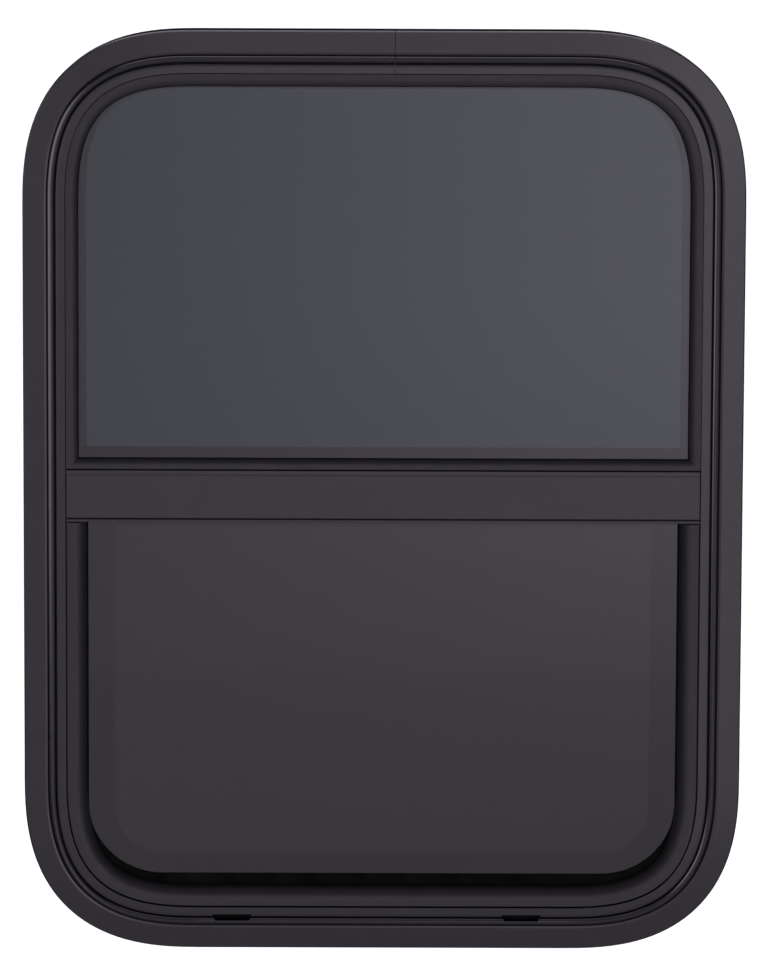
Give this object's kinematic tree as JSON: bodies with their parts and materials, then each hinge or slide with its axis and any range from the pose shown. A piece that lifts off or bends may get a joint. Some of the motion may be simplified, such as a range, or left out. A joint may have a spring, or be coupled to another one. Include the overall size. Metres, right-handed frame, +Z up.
{
  "type": "caravan window",
  "caption": "Rounded-corner caravan window: black aluminium frame, fixed tinted pane over a cross bar, sliding sash below with an insect screen, and an inner clamp ring",
  "frame": {"origin": "middle of the window, on the plane where the flange's back lies on the outside of the wall", "axes": "+X right and +Z up as seen from outside, +Y through the wall to the inside"},
  "size_m": [0.535, 0.0444, 0.69],
  "materials": {
    "black_powder_coat": "satin black powder coat",
    "upper_tint": "dark tinted safety glass",
    "sash_tint": "dark tinted safety glass",
    "glazing_bead": "satin black",
    "black_rubber": "matt black rubber",
    "run_channel": "matt black rubber",
    "glazing_tape": "foam tape",
    "pile": "woven pile",
    "black_nylon": "moulded nylon",
    "insect_mesh": "woven charcoal mesh",
    "mill_aluminium": "mill finish"
  },
  "bodies": {
    "root": {"outer_frame": "black_powder_coat", "mullion": "black_powder_coat", "lower_reveal_trim": "black_powder_coat", "sash_top_rail": "black_powder_coat", "sash_pull": "black_powder_coat", "screen_frame": "black_powder_coat", "clamp_ring": "black_powder_coat", "upper_glass": "upper_tint", "sash_glass": "sash_tint", "upper_glazing_bead": "glazing_bead", "upper_sill_bead": "glazing_bead", "jamb_seal_left": "black_rubber", "jamb_seal_right": "black_rubber", "sash_bottom_trim": "black_rubber", "screen_spline": "black_rubber", "setting_block_left": "black_rubber", "setting_block_right": "black_rubber", "run_channel_left": "run_channel", "run_channel_right": "run_channel", "run_channel_sill": "run_channel", "upper_glazing_tape": "glazing_tape", "mullion_pile_seal": "pile", "sash_latch_left": "black_nylon", "sash_latch_right": "black_nylon", "screen_tab_left": "black_nylon", "screen_tab_right": "black_nylon", "screen_mesh": "insect_mesh", "frame_joint_key": "mill_aluminium"}
  },
  "joints": []
}
